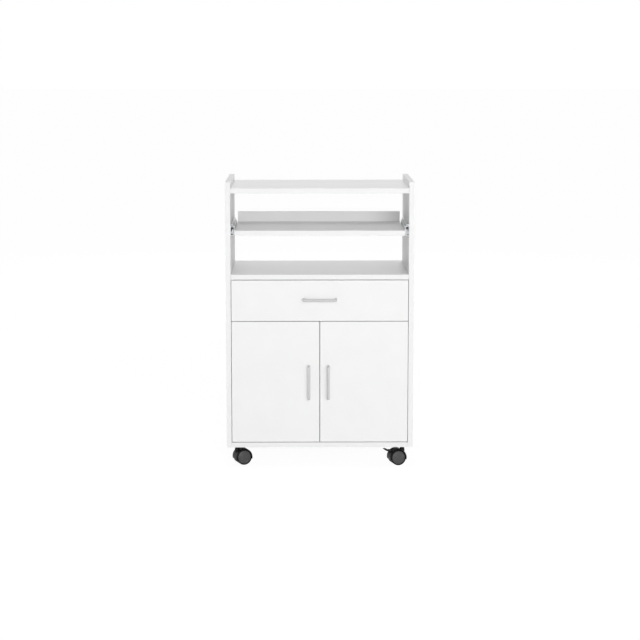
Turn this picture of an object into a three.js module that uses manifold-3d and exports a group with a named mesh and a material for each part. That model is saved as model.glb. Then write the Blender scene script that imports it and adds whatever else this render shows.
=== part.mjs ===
// Microwave cart: a white board cabinet on four twin-wheel casters, with a top shelf between
// raised side panels, a pull-out shelf on metal slides, a drawer and two inset doors.
// Millimetres. +X is to the right, +Y to the back, +Z up. The front of the cabinet faces -Y.

import * as THREE from "three";
import { mergeVertices } from "three/addons/utils/BufferGeometryUtils.js";
import Module from "manifold-3d";

const wasm = await Module();
wasm.setup();

// ---- Driving dimensions -----------------------------------------------------------------

// Cabinet
const CART_WIDTH = 600;
const SIDE_DEPTH = 400;
const SIDE_HEIGHT = 856;
const CASTER_HEIGHT = 64; // floor to the underside of the cabinet
const BOARD = 16;
const TOP_SHELF_DROP = 20; // top shelf below the top of the sides
const DOOR_HEIGHT = 392;
const DRAWER_FRONT_HEIGHT = 131;
const FRONT_GAP = 2; // between fronts, and between fronts and boards
const FRONT_SIDE_GAP = 1.5; // fronts to the side panels
const BACK_THICKNESS = 3;
const BACK_INSET = 1; // back panel in from the cabinet's outline
const INNER_SHELF_HEIGHT = 190; // shelf top above the bottom panel
const INNER_SHELF_SETBACK = 48;
const INNER_SHELF_SIDE_GAP = 0.5;
const SEAM = 0.25; // between boards and fittings that touch

// Pull-out shelf
const PULLOUT_LIFT = 124.5; // deck to the underside of the pull-out shelf
const PULLOUT_SETBACK = 4; // behind the front edges of the side panels
const PULLOUT_REAR_GAP = 54.75; // behind the lip, up to the rear edges of the side panels
const LIP_HEIGHT = 49;

// Drawer box
const DRAWER_BOX_HEIGHT = 90;
const DRAWER_BOX_LIFT = 12; // box above the lower edge of the drawer front
const DRAWER_REAR_GAP = 34; // behind the box, up to the back panel
const DRAWER_BOARD = 12;
const DRAWER_BOTTOM = 3;
const DRAWER_BOTTOM_LIFT = 10;
const GROOVE_DEPTH = 6;
const GROOVE_CLEARANCE = 0.25;

// Slides
const SLIDE_THICKNESS = 12.5;
const PULLOUT_SLIDE_SETBACK = 6;
const PULLOUT_SLIDE_LENGTH = 254; // ten inches, shorter than the shelf
const DRAWER_SLIDE_SETBACK = 4; // behind the drawer front
const RAIL_HEIGHT = 35;
const RAIL_REACH = 9.5;
const RUNNER_HEIGHT = 23;
const RUNNER_REACH = 9;
const SLIDE_WALL = 1.5;
const RAIL_RETURN = 4;

// Bar handles
const HANDLE_LENGTH = 110;
const HANDLE_PROJECTION = 28;
const HANDLE_BAR = 8; // bar thickness, front to back
const HANDLE_WIDTH = 8;
const HANDLE_BEND = 7; // outer corner radius
const LEFT_HANDLE_INSET = 33.75; // bar centre from the left door's free edge
const RIGHT_HANDLE_INSET = 26.5;
const DRAWER_HANDLE_LIFT = 4.5; // above the middle of the drawer front

// Concealed cup hinges, in the door's section: u inwards from the side panel, v backwards
const HINGE_INSET = 75; // hinge centre from the door's lower or upper edge
const CUP_RADIUS = 17.25;
const CUP_EDGE = 3.5; // bore to the door's edge
const CUP_DEPTH = 11.5;
const CUP_WALL = 0.8;
const CUP_FLOOR = 1;
const CUP_FIT = 0.25;
const FLANGE_THICKNESS = 1;
const FLANGE_RIM = 1.35;
const FLANGE_LENGTH = 52;
const FLANGE_WIDTH = 14;
const ARM_PIVOT = [39.25, 22];
const CUP_PIVOT = [10, 12.25];
const LINK_BENDS = [
  [32.6, 10.25],
  [14.5, 8.75],
];
const LINK_THICKNESS = 2.3;
const LINK_HEIGHT = 11;
const LINK_EYE = 2.6;
const HINGE_PIN = 1.2;
const HINGE_PIN_FIT = 0.1;
const ARM_CHEEK = 1.4;
const ARM_CHEEK_GAP = 0.3;
const ARM_NOSE = 3.5;
const ARM_LENGTH = 72; // rear end of the arm behind the door's face
const ARM_FRONT = 34;
const ARM_RISE = 13; // top of the straight stretch above the side panel
const PLATE_THICKNESS = 3;
const PLATE_HEIGHT = 44;
const PLATE_DEPTH = 20;

// Casters
const STEM_SIDE_INSET = 32;
const STEM_FRONT_INSET = 41;
const STEM_REAR_INSET = 41;
const WHEEL_RADIUS = 25;
const WHEEL_TRAIL = 18;
const CASTER_WIDTH = 46;
const WEB_THICKNESS = 13;
const WHEEL_GAP = 0.75;
const HOOD_GAP = 1;
const HOOD_WALL = 2;
const HOOD_END_ANGLE = 14; // below the axle's level, at each end of the hood
const WEB_RADIUS = 15;
const BOSS_RADIUS = 6.5;
const BOSS_TOP = 61.25;
const BOSS_BOTTOM = 30;
const STEM_RADIUS = 3.75;
const STEM_FIT = 0.2;
const STEM_THREAD = 4;
const STEM_SINK = 12; // thread's length in the bottom panel
const STEM_BOTTOM = 33;
const COLLAR_RADIUS = 8;
const COLLAR_THICKNESS = 2;
const AXLE_RADIUS = 3;
const AXLE_FIT = 0.1;
const AXLE_INSET = 2.5; // axle's end below the wheel's face
const CAP_RADIUS = 21.5;
const CAP_GROOVE = 1;
const TREAD_ROUND = 2;
const CAP_DOME = 1.5;

// Brake lever of the front right caster, pivoted on the hood
const BRAKE_ANGLE = 42; // pivot above the axle's level, on the trailing side
const BRAKE_PIVOT_RADIUS = 29.5;
const BRAKE_WIDTH = 26;
const BRAKE_HUB = 2.8;
const BRAKE_CAM = 4.1;
const BRAKE_REACH = 25;
const BRAKE_SLOPE = 20;
const BRAKE_THICKNESS = 3;
const BRAKE_PIN = 1.5;
const BRAKE_PIN_FIT = 0.1;
const BRAKE_SIDE_GAP = 0.5;
const LUG_RADIUS = 3.25;
const LUG_WIDTH = 3;
const BRAKE_SLOT_GAP = 1;

// Trailing direction of each caster, anticlockwise from +X seen from above
const CASTERS = [
  { corner: "front_left", side: -1, front: true, trailing: 21, brake: false },
  { corner: "front_right", side: 1, front: true, trailing: 195.5, brake: true },
  { corner: "rear_left", side: -1, front: false, trailing: 32, brake: false },
  { corner: "rear_right", side: 1, front: false, trailing: 164, brake: false },
];

// ---- Worked-out places ------------------------------------------------------------------

const INNER_WIDTH = CART_WIDTH - 2 * BOARD;
const INNER_X = INNER_WIDTH / 2;
const SIDE_BOTTOM = CASTER_HEIGHT;
const SIDE_TOP = SIDE_BOTTOM + SIDE_HEIGHT;
const BOTTOM_TOP = SIDE_BOTTOM + BOARD;
const DOOR_BOTTOM = BOTTOM_TOP + FRONT_GAP;
const DOOR_TOP = DOOR_BOTTOM + DOOR_HEIGHT;
const DRAWER_BOTTOM_EDGE = DOOR_TOP + FRONT_GAP;
const DRAWER_TOP_EDGE = DRAWER_BOTTOM_EDGE + DRAWER_FRONT_HEIGHT;
const DECK_BOTTOM = DRAWER_TOP_EDGE + FRONT_GAP;
const DECK_TOP = DECK_BOTTOM + BOARD;
const PULLOUT_BOTTOM = DECK_TOP + PULLOUT_LIFT;
const PULLOUT_DEPTH = SIDE_DEPTH - PULLOUT_SETBACK - PULLOUT_REAR_GAP - SEAM - BOARD;
const DRAWER_BOX_DEPTH = SIDE_DEPTH - BOARD - DRAWER_REAR_GAP;
const DRAWER_SLIDE_LENGTH = DRAWER_BOX_DEPTH;
const TOP_SHELF_TOP = SIDE_TOP - TOP_SHELF_DROP;
const FRONT_HALF = INNER_X - FRONT_SIDE_GAP;
const SLIDE_ROOM = SLIDE_THICKNESS + 2 * SEAM;
const BOX_HALF = INNER_X - SLIDE_ROOM; // outer face of what rides on the slides
const CUP_CENTRE = FRONT_SIDE_GAP + CUP_EDGE + CUP_RADIUS + CUP_FIT;
const ORIGIN_Y = (SIDE_DEPTH + SEAM + BACK_THICKNESS - HANDLE_PROJECTION) / 2;

// ---- Materials --------------------------------------------------------------------------

const material = (color, roughness, metalness = 0) =>
  new THREE.MeshStandardMaterial({ color, roughness, metalness });
const melamine = material(0xf4f4f3, 0.5);
const hardboard = material(0xeeeeec, 0.7);
const satinSilver = material(0xc4c5c6, 0.35, 1);
const zincSteel = material(0xb4b7ba, 0.4, 1);
const blackPlastic = material(0x1c1c1d, 0.45);
const wheelPlastic = material(0x505052, 0.5);

// ---- Geometry helpers -------------------------------------------------------------------

const X = new THREE.Vector3(1, 0, 0);
const FORWARDS = new THREE.Vector3(0, -1, 0);
const Z = new THREE.Vector3(0, 0, 1);
const degrees = THREE.MathUtils.degToRad;

function box([x0, x1], [y0, y1], [z0, z1]) {
  const geometry = new THREE.BoxGeometry(x1 - x0, y1 - y0, z1 - z0);
  return geometry.translate((x0 + x1) / 2, (y0 + y1) / 2, (z0 + z1) / 2);
}

const ARC_STEPS = 9;
const options = (depth, steps = 3) => ({ depth, bevelEnabled: false, curveSegments: steps });

// A shape drawn in X and Y, pushed along Z.
const prismZ = (shape, z0, z1) =>
  new THREE.ExtrudeGeometry(shape, options(z1 - z0)).translate(0, 0, z0);

// A shape drawn in X and Z, pushed along Y.
function prismY(shape, y0, y1, steps) {
  const turn = new THREE.Matrix4().makeBasis(X, Z, FORWARDS);
  const geometry = new THREE.ExtrudeGeometry(shape, options(y1 - y0, steps));
  return geometry.applyMatrix4(turn).translate(0, y1, 0);
}

function polygon(points) {
  return new THREE.Shape(points.map(([a, b]) => new THREE.Vector2(a, b)));
}

// Round bars along each axis; x, y and z name the bar's centre line.
const SIDES = 16;
const WHEEL_SIDES = 26;
const roundY = (radius, y0, y1, x, z, sides = SIDES) =>
  new THREE.CylinderGeometry(radius, radius, y1 - y0, sides).translate(x, (y0 + y1) / 2, z);
const roundZ = (radius, z0, z1, x = 0, y = 0, sides = SIDES) =>
  new THREE.CylinderGeometry(radius, radius, z1 - z0, sides)
    .rotateX(Math.PI / 2)
    .translate(x, y, (z0 + z1) / 2);

// ---- Booleans ---------------------------------------------------------------------------

function solid(geometry) {
  const bare = new THREE.BufferGeometry();
  bare.setAttribute("position", geometry.getAttribute("position"));
  bare.setIndex(geometry.index);
  const merged = mergeVertices(bare, 1e-3);
  const vertProperties = merged.getAttribute("position").array;
  const triVerts = new Uint32Array(merged.index.array);
  return new wasm.Manifold(new wasm.Mesh({ numProp: 3, vertProperties, triVerts }));
}

function geometryOf(body) {
  const mesh = body.getMesh();
  const geometry = new THREE.BufferGeometry();
  geometry.setAttribute("position", new THREE.BufferAttribute(mesh.vertProperties, 3));
  geometry.setIndex(new THREE.BufferAttribute(mesh.triVerts, 1));
  geometry.computeVertexNormals();
  return geometry;
}

const join = (first, ...rest) =>
  geometryOf(rest.reduce((body, geometry) => body.add(solid(geometry)), solid(first)));
const cut = (first, ...rest) =>
  geometryOf(rest.reduce((body, geometry) => body.subtract(solid(geometry)), solid(first)));

// ---- Scene ------------------------------------------------------------------------------

const cart = new THREE.Group();
cart.position.y = -ORIGIN_Y;

function piece(parent, name, geometry, look) {
  const mesh = new THREE.Mesh(geometry, look);
  mesh.name = name;
  parent.add(mesh);
  return mesh;
}

// A group measured from one side panel's inner face, mirrored for the right-hand side.
function sideGroup(side, z) {
  const group = new THREE.Group();
  group.position.set(side * INNER_X, 0, z);
  group.scale.x = -side;
  cart.add(group);
  return group;
}

const HANDS = [
  { hand: "left", side: -1 },
  { hand: "right", side: 1 },
];

// ---- Cabinet boards ---------------------------------------------------------------------

function cabinetBoards() {
  const across = [-INNER_X + SEAM, INNER_X - SEAM];
  const deep = [0, SIDE_DEPTH];
  for (const { hand, side } of HANDS) {
    const xs = [side * INNER_X, side * (INNER_X + BOARD)].sort((a, b) => a - b);
    piece(cart, `${hand}_side_panel`, box(xs, deep, [SIDE_BOTTOM, SIDE_TOP]), melamine);
  }
  piece(cart, "top_shelf", box(across, deep, [TOP_SHELF_TOP - BOARD, TOP_SHELF_TOP]), melamine);
  piece(cart, "deck_panel", box(across, deep, [DECK_BOTTOM, DECK_TOP]), melamine);
  piece(cart, "bottom_panel", bottomPanel(across, deep), melamine);
  piece(cart, "back_panel", backPanel(), hardboard);

  const shelfHalf = INNER_X - INNER_SHELF_SIDE_GAP;
  const shelfTop = BOTTOM_TOP + INNER_SHELF_HEIGHT;
  const innerShelf = box(
    [-shelfHalf, shelfHalf],
    [INNER_SHELF_SETBACK, SIDE_DEPTH - SEAM],
    [shelfTop - BOARD, shelfTop],
  );
  piece(cart, "inner_shelf", innerShelf, melamine);
}

// The bottom panel is bored for the threads of the four caster stems.
function bottomPanel(across, deep) {
  const bores = CASTERS.map((caster) => {
    const { x, y } = stemPlace(caster);
    const top = SIDE_BOTTOM + STEM_SINK + SEAM;
    return roundZ(STEM_THREAD + SEAM, SIDE_BOTTOM - 1, top, x, y);
  });
  return cut(box(across, deep, [SIDE_BOTTOM, BOTTOM_TOP]), ...bores);
}

// The back panel is nailed on behind the cabinet, up to the deck, and leaves the bays open.
function backPanel() {
  const half = CART_WIDTH / 2 - BACK_INSET;
  const back = SIDE_DEPTH + SEAM;
  return box([-half, half], [back, back + BACK_THICKNESS], [SIDE_BOTTOM + BACK_INSET, DECK_TOP]);
}

// ---- Slides -----------------------------------------------------------------------------

// Both members are folded channels, drawn in u (from the side panel) and z.
function railSection() {
  const h = RAIL_HEIGHT / 2;
  const web = SEAM + SLIDE_WALL;
  const tip = SEAM + RAIL_REACH;
  return polygon([
    [SEAM, -h],
    [tip, -h],
    [tip, -h + RAIL_RETURN],
    [tip - SLIDE_WALL, -h + RAIL_RETURN],
    [tip - SLIDE_WALL, -h + SLIDE_WALL],
    [web, -h + SLIDE_WALL],
    [web, h - SLIDE_WALL],
    [tip - SLIDE_WALL, h - SLIDE_WALL],
    [tip - SLIDE_WALL, h - RAIL_RETURN],
    [tip, h - RAIL_RETURN],
    [tip, h],
    [SEAM, h],
  ]);
}

function runnerSection() {
  const h = RUNNER_HEIGHT / 2;
  const face = SEAM + SLIDE_THICKNESS;
  const web = face - SLIDE_WALL;
  const tip = face - RUNNER_REACH;
  return polygon([
    [face, -h],
    [face, h],
    [tip, h],
    [tip, h - SLIDE_WALL],
    [web, h - SLIDE_WALL],
    [web, -h + SLIDE_WALL],
    [tip, -h + SLIDE_WALL],
    [tip, -h],
  ]);
}

function slidePair(name, from, length, z) {
  const to = from + length;
  for (const { hand, side } of HANDS) {
    const group = sideGroup(side, z);
    piece(group, `${name}_${hand}_slide_rail`, prismY(railSection(), from, to), zincSteel);
    piece(group, `${name}_${hand}_slide_runner`, prismY(runnerSection(), from, to), zincSteel);
  }
}

// ---- Pull-out shelf ---------------------------------------------------------------------

function pulloutShelf() {
  const across = [-BOX_HALF, BOX_HALF];
  const front = PULLOUT_SETBACK;
  const back = front + PULLOUT_DEPTH;
  const board = box(across, [front, back], [PULLOUT_BOTTOM, PULLOUT_BOTTOM + BOARD]);
  const lipDepth = [back + SEAM, back + SEAM + BOARD];
  const lip = box(across, lipDepth, [PULLOUT_BOTTOM, PULLOUT_BOTTOM + LIP_HEIGHT]);
  piece(cart, "pullout_shelf", board, melamine);
  piece(cart, "pullout_rear_lip", lip, melamine);
  const slideZ = PULLOUT_BOTTOM + RAIL_HEIGHT / 2;
  slidePair("pullout", PULLOUT_SLIDE_SETBACK, PULLOUT_SLIDE_LENGTH, slideZ);
}

// ---- Drawer -----------------------------------------------------------------------------

function drawer() {
  const front = box([-FRONT_HALF, FRONT_HALF], [0, BOARD], [DRAWER_BOTTOM_EDGE, DRAWER_TOP_EDGE]);
  piece(cart, "drawer_front", front, melamine);

  const y0 = BOARD + SEAM;
  const y1 = y0 + DRAWER_BOX_DEPTH;
  const z0 = DRAWER_BOTTOM_EDGE + DRAWER_BOX_LIFT;
  const z1 = z0 + DRAWER_BOX_HEIGHT;
  const inner = BOX_HALF - DRAWER_BOARD;
  const grooveHalf = inner + GROOVE_DEPTH;
  const floor = z0 + DRAWER_BOTTOM_LIFT;
  const groove = box(
    [-grooveHalf, grooveHalf],
    [y0 - 1, y1 + 1],
    [floor - GROOVE_CLEARANCE, floor + DRAWER_BOTTOM + GROOVE_CLEARANCE],
  );
  for (const { hand, side } of HANDS) {
    const xs = [side * inner, side * BOX_HALF].sort((a, b) => a - b);
    const board = cut(box(xs, [y0, y1], [z0, z1]), groove);
    piece(cart, `drawer_${hand}_side`, board, melamine);
  }

  // The back stands on the bottom, which slides in under it.
  const backZ = [floor + DRAWER_BOTTOM + GROOVE_CLEARANCE, z1];
  const back = box([-inner + SEAM, inner - SEAM], [y1 - DRAWER_BOARD, y1], backZ);
  piece(cart, "drawer_back", back, melamine);

  const bottomHalf = grooveHalf - GROOVE_CLEARANCE;
  const bottom = box([-bottomHalf, bottomHalf], [y0, y1], [floor, floor + DRAWER_BOTTOM]);
  piece(cart, "drawer_bottom", bottom, hardboard);

  const handle = piece(cart, "drawer_handle", barHandle(), satinSilver);
  handle.position.set(0, 0, (DRAWER_BOTTOM_EDGE + DRAWER_TOP_EDGE) / 2 + DRAWER_HANDLE_LIFT);
  slidePair("drawer", BOARD + DRAWER_SLIDE_SETBACK, DRAWER_SLIDE_LENGTH, (z0 + z1) / 2);
}

// A square bar bent into a bow, lying along X, with its feet on the front at y = 0.
function barHandle() {
  const half = HANDLE_LENGTH / 2;
  const face = -HANDLE_PROJECTION;
  const inside = half - HANDLE_BAR;
  const bow = new THREE.Shape();
  bow.moveTo(-half, -SEAM);
  bow.lineTo(-half, face + HANDLE_BEND);
  bow.absarc(-half + HANDLE_BEND, face + HANDLE_BEND, HANDLE_BEND, Math.PI, 1.5 * Math.PI, false);
  bow.absarc(half - HANDLE_BEND, face + HANDLE_BEND, HANDLE_BEND, 1.5 * Math.PI, 2 * Math.PI, false);
  bow.lineTo(half, -SEAM);
  bow.lineTo(inside, -SEAM);
  bow.lineTo(inside, face + HANDLE_BAR);
  bow.lineTo(-inside, face + HANDLE_BAR);
  bow.lineTo(-inside, -SEAM);
  return prismZ(bow, -HANDLE_WIDTH / 2, HANDLE_WIDTH / 2);
}

// ---- Doors and hinges -------------------------------------------------------------------

function doors() {
  const insets = { left: LEFT_HANDLE_INSET, right: RIGHT_HANDLE_INSET };
  for (const { hand, side } of HANDS) {
    const free = FRONT_GAP / 2;
    const levels = [
      { level: "lower", z: DOOR_BOTTOM + HINGE_INSET },
      { level: "upper", z: DOOR_TOP - HINGE_INSET },
    ];
    const xs = [side * free, side * FRONT_HALF].sort((a, b) => a - b);
    const cupX = side * (INNER_X - CUP_CENTRE);
    const bores = levels.map(({ z }) => {
      const floor = BOARD - CUP_DEPTH - CUP_FIT;
      return roundY(CUP_RADIUS + CUP_FIT, floor, BOARD + 1, cupX, z);
    });
    const board = cut(box(xs, [0, BOARD], [DOOR_BOTTOM, DOOR_TOP]), ...bores);
    piece(cart, `${hand}_door`, board, melamine);

    const handle = piece(cart, `${hand}_door_handle`, barHandle(), satinSilver);
    handle.rotation.y = Math.PI / 2;
    handle.position.set(side * (free + insets[hand]), 0, (DOOR_BOTTOM + DOOR_TOP) / 2);

    for (const { level, z } of levels) hinge(`${hand}_${level}_hinge`, sideGroup(side, z));
  }
}

function hinge(name, group) {
  piece(group, `${name}_cup`, hingeCup(), zincSteel);
  piece(group, `${name}_link`, hingeLink(), zincSteel);
  piece(group, `${name}_arm`, hingeArm(), zincSteel);
}

// A round cup let into the door, with a winged flange on the door's back and a pin across it.
function hingeCup() {
  const back = BOARD;
  const flange = [back + SEAM, back + SEAM + FLANGE_THICKNESS];
  const rim = CUP_RADIUS + FLANGE_RIM;
  const wings = [CUP_CENTRE - FLANGE_WIDTH / 2, CUP_CENTRE + FLANGE_WIDTH / 2];
  const outer = solid(roundY(CUP_RADIUS, back - CUP_DEPTH, flange[1], CUP_CENTRE, 0))
    .add(solid(roundY(rim, ...flange, CUP_CENTRE, 0)))
    .add(solid(box(wings, flange, [-FLANGE_LENGTH / 2, FLANGE_LENGTH / 2])));
  const hollow = roundY(
    CUP_RADIUS - CUP_WALL,
    back - CUP_DEPTH + CUP_FLOOR,
    flange[1] + 1,
    CUP_CENTRE,
    0,
  );
  const pin = solid(roundZ(HINGE_PIN, -CUP_RADIUS, CUP_RADIUS, ...CUP_PIVOT, 12)).intersect(outer);
  return geometryOf(outer.subtract(solid(hollow)).add(pin));
}

// A thick line from one point to the next in u and v, as one outline per stretch.
function strap(from, to, thickness) {
  const along = new THREE.Vector2(to[0] - from[0], to[1] - from[1]).normalize();
  const aside = new THREE.Vector2(-along.y, along.x).multiplyScalar(thickness / 2);
  return polygon([
    [from[0] + aside.x, from[1] + aside.y],
    [from[0] - aside.x, from[1] - aside.y],
    [to[0] - aside.x, to[1] - aside.y],
    [to[0] + aside.x, to[1] + aside.y],
  ]);
}

// A bent strap with an eye on the cup's pin and an eye on the arm's pin.
function hingeLink() {
  const h = LINK_HEIGHT / 2;
  const route = [ARM_PIVOT, ...LINK_BENDS, CUP_PIVOT];
  let body = solid(roundZ(LINK_EYE, -h, h, ...ARM_PIVOT)).add(
    solid(roundZ(LINK_EYE, -h, h, ...CUP_PIVOT)),
  );
  for (const bend of LINK_BENDS) body = body.add(solid(roundZ(LINK_THICKNESS / 2, -h, h, ...bend)));
  for (let i = 1; i < route.length; i++) {
    body = body.add(solid(prismZ(strap(route[i - 1], route[i], LINK_THICKNESS), -h, h)));
  }
  for (const pivot of [ARM_PIVOT, CUP_PIVOT]) {
    body = body.subtract(solid(roundZ(HINGE_PIN + HINGE_PIN_FIT, -h - 1, h + 1, ...pivot, 12)));
  }
  return geometryOf(body);
}

// A mounting plate on the side panel, and an arm cranked out to the link's pivot.
function hingeArm() {
  const fork = LINK_HEIGHT / 2 + ARM_CHEEK_GAP;
  const h = fork + ARM_CHEEK;
  const [pu, pv] = ARM_PIVOT;
  const foot = SEAM + PLATE_THICKNESS;
  const crank = polygon([
    [foot - 1, ARM_FRONT],
    [pu - 1, pv - ARM_NOSE],
    [pu + 1, pv + ARM_NOSE],
    [ARM_RISE + 6, pv + 2.5 * ARM_NOSE + ARM_RISE],
    [ARM_RISE, ARM_FRONT + ARM_RISE + 6],
    [ARM_RISE, ARM_LENGTH],
    [foot - 1, ARM_LENGTH],
  ]);
  const room = box([pu - 9, pu + 9], [pv - 9, pv + 5], [-fork, fork]);
  const plateFront = (ARM_FRONT + ARM_LENGTH - PLATE_DEPTH) / 2;
  const plate = box(
    [SEAM, foot],
    [plateFront, plateFront + PLATE_DEPTH],
    [-PLATE_HEIGHT / 2, PLATE_HEIGHT / 2],
  );
  const body = solid(prismZ(crank, -h, h))
    .add(solid(roundZ(ARM_NOSE, -h, h, pu, pv)))
    .subtract(solid(room))
    .add(solid(roundZ(HINGE_PIN, -h, h, pu, pv, 12)))
    .add(solid(plate));
  return geometryOf(body);
}

// ---- Casters ----------------------------------------------------------------------------

function stemPlace({ side, front }) {
  const x = side * (CART_WIDTH / 2 - STEM_SIDE_INSET);
  const y = front ? STEM_FRONT_INSET : SIDE_DEPTH - STEM_REAR_INSET;
  return { x, y };
}

function caster(spec) {
  const name = `${spec.corner}_caster`;
  const { x, y } = stemPlace(spec);
  const stem = piece(cart, `${name}_stem`, casterStem(), zincSteel);
  stem.position.set(x, y, 0);

  const turned = new THREE.Group();
  turned.position.set(x, y, 0);
  turned.rotation.z = degrees(spec.trailing);
  cart.add(turned);
  piece(turned, `${name}_housing`, casterHousing(spec.brake), blackPlastic);
  piece(turned, `${name}_axle`, casterAxle(), zincSteel);
  for (const { hand, side } of HANDS) {
    const wheel = piece(turned, `${name}_${hand}_wheel`, casterWheel(), wheelPlastic);
    wheel.position.set(WHEEL_TRAIL, 0, WHEEL_RADIUS);
    wheel.rotation.z = side < 0 ? Math.PI : 0;
  }
  if (spec.brake) piece(turned, `${name}_brake_lever`, brakeLever(), blackPlastic);
}

// A threaded stem with a collar under the cabinet and a plain pin that the housing turns on.
function casterStem() {
  const top = SIDE_BOTTOM - SEAM;
  return join(
    roundZ(STEM_RADIUS, STEM_BOTTOM, top),
    roundZ(COLLAR_RADIUS, top - COLLAR_THICKNESS, top, 0, 0, 6),
    roundZ(STEM_THREAD, top - 1, SIDE_BOTTOM + STEM_SINK),
  );
}

// A web between the wheels, a hood over both wheels and a boss around the stem.
function casterHousing(brake) {
  const inner = WHEEL_RADIUS + HOOD_GAP;
  const outer = inner + HOOD_WALL;
  const from = degrees(-HOOD_END_ANGLE);
  const to = degrees(180 + HOOD_END_ANGLE);
  const hood = new THREE.Shape();
  hood.absarc(WHEEL_TRAIL, WHEEL_RADIUS, outer, from, to, false);
  hood.absarc(WHEEL_TRAIL, WHEEL_RADIUS, inner, to, from, true);
  const web = new THREE.Shape();
  web.absarc(WHEEL_TRAIL, WHEEL_RADIUS, outer, from, to, false);
  web.absarc(WHEEL_TRAIL, WHEEL_RADIUS, WEB_RADIUS, to, from + 2 * Math.PI, false);

  const half = CASTER_WIDTH / 2;
  let body = solid(prismY(web, -WEB_THICKNESS / 2, WEB_THICKNESS / 2, ARC_STEPS))
    .add(solid(prismY(hood, -half, half, ARC_STEPS)))
    .add(solid(roundZ(BOSS_RADIUS, BOSS_BOTTOM, BOSS_TOP)));
  if (brake) body = withBrakeLugs(body);
  return geometryOf(
    body
      .subtract(solid(roundZ(STEM_RADIUS + STEM_FIT, STEM_BOTTOM - 1, BOSS_TOP + 1)))
      .subtract(solid(roundY(AXLE_RADIUS + AXLE_FIT, -half, half, WHEEL_TRAIL, WHEEL_RADIUS))),
  );
}

function brakePivot() {
  const angle = degrees(BRAKE_ANGLE);
  return [
    WHEEL_TRAIL + BRAKE_PIVOT_RADIUS * Math.cos(angle),
    WHEEL_RADIUS + BRAKE_PIVOT_RADIUS * Math.sin(angle),
  ];
}

// A slot in the hood for the lever, with a lug and a pin hole on each side of it.
function withBrakeLugs(body) {
  const [px, pz] = brakePivot();
  const slotHalf = BRAKE_WIDTH / 2 + BRAKE_SIDE_GAP;
  const lugEnd = slotHalf + LUG_WIDTH;
  return body
    .add(solid(roundY(LUG_RADIUS, -lugEnd, lugEnd, px, pz)))
    .subtract(solid(roundY(BRAKE_CAM + BRAKE_SLOT_GAP, -slotHalf, slotHalf, px, pz)))
    .subtract(solid(roundY(BRAKE_PIN + BRAKE_PIN_FIT, -lugEnd - 1, lugEnd + 1, px, pz, 12)));
}

// A pedal with a hub in the slot, a cam over the treads and a pin end in each lug.
function brakeLever() {
  const [px, pz] = brakePivot();
  const half = BRAKE_WIDTH / 2;
  const slope = degrees(BRAKE_SLOPE);
  const tip = [px + BRAKE_REACH * Math.cos(slope), pz + BRAKE_REACH * Math.sin(slope)];
  const pinEnd = half + BRAKE_SIDE_GAP + LUG_WIDTH;
  const camAngle = degrees(180 + BRAKE_ANGLE + 30);
  const camEnd = [
    px + (BRAKE_CAM - 1) * Math.cos(camAngle),
    pz + (BRAKE_CAM - 1) * Math.sin(camAngle),
  ];
  return join(
    roundY(BRAKE_HUB, -half, half, px, pz),
    roundY(1, -half, half, ...camEnd, 12),
    prismY(strap([px, pz], camEnd, 2), -half, half),
    prismY(strap([px, pz], tip, BRAKE_THICKNESS), -half, half),
    roundY(BRAKE_THICKNESS / 2, -half, half, ...tip, 12),
    roundY(BRAKE_PIN, -pinEnd, pinEnd, px, pz, 12),
  );
}

function casterAxle() {
  const end = CASTER_WIDTH / 2 - AXLE_INSET;
  return roundY(AXLE_RADIUS, -end, end, WHEEL_TRAIL, WHEEL_RADIUS);
}

// One wheel, turned about Y, with its blind bore facing the web.
function casterWheel() {
  const inside = WEB_THICKNESS / 2 + WHEEL_GAP;
  const face = CASTER_WIDTH / 2;
  const rim = face - CAP_DOME;
  const bore = AXLE_RADIUS + AXLE_FIT;
  const boreEnd = face - AXLE_INSET + SEAM;
  const profile = [
    [0, boreEnd],
    [bore, boreEnd],
    [bore, inside],
    [WHEEL_RADIUS - TREAD_ROUND, inside],
    [WHEEL_RADIUS, inside + TREAD_ROUND],
    [WHEEL_RADIUS, rim - TREAD_ROUND],
    [WHEEL_RADIUS - TREAD_ROUND, rim],
    [CAP_RADIUS + CAP_GROOVE, rim],
    [CAP_RADIUS + CAP_GROOVE, rim - CAP_GROOVE],
    [CAP_RADIUS, rim - CAP_GROOVE],
    [CAP_RADIUS, rim],
    [0, face],
  ];
  // The flats of the turned shape touch the true circle, and one of them faces the floor.
  const step = Math.PI / WHEEL_SIDES;
  const points = profile.map(([r, y]) => new THREE.Vector2(r / Math.cos(step), y));
  return new THREE.LatheGeometry(points, WHEEL_SIDES, step);
}

// ---- Assembly ---------------------------------------------------------------------------

cabinetBoards();
pulloutShelf();
drawer();
doors();
for (const spec of CASTERS) caster(spec);

const root = new THREE.Group();
root.add(cart);
export default root;
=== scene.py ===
"""A white microwave cart of melamine-faced board, on four black twin-wheel casters.

Metres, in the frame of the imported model: +X right, +Y back, +Z up, floor at z = 0.
Each section holds one piece, or one group of like pieces, in the order in which the cart is
put together.
"""

import math

import bmesh
import bpy
from mathutils import Matrix, Vector


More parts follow.
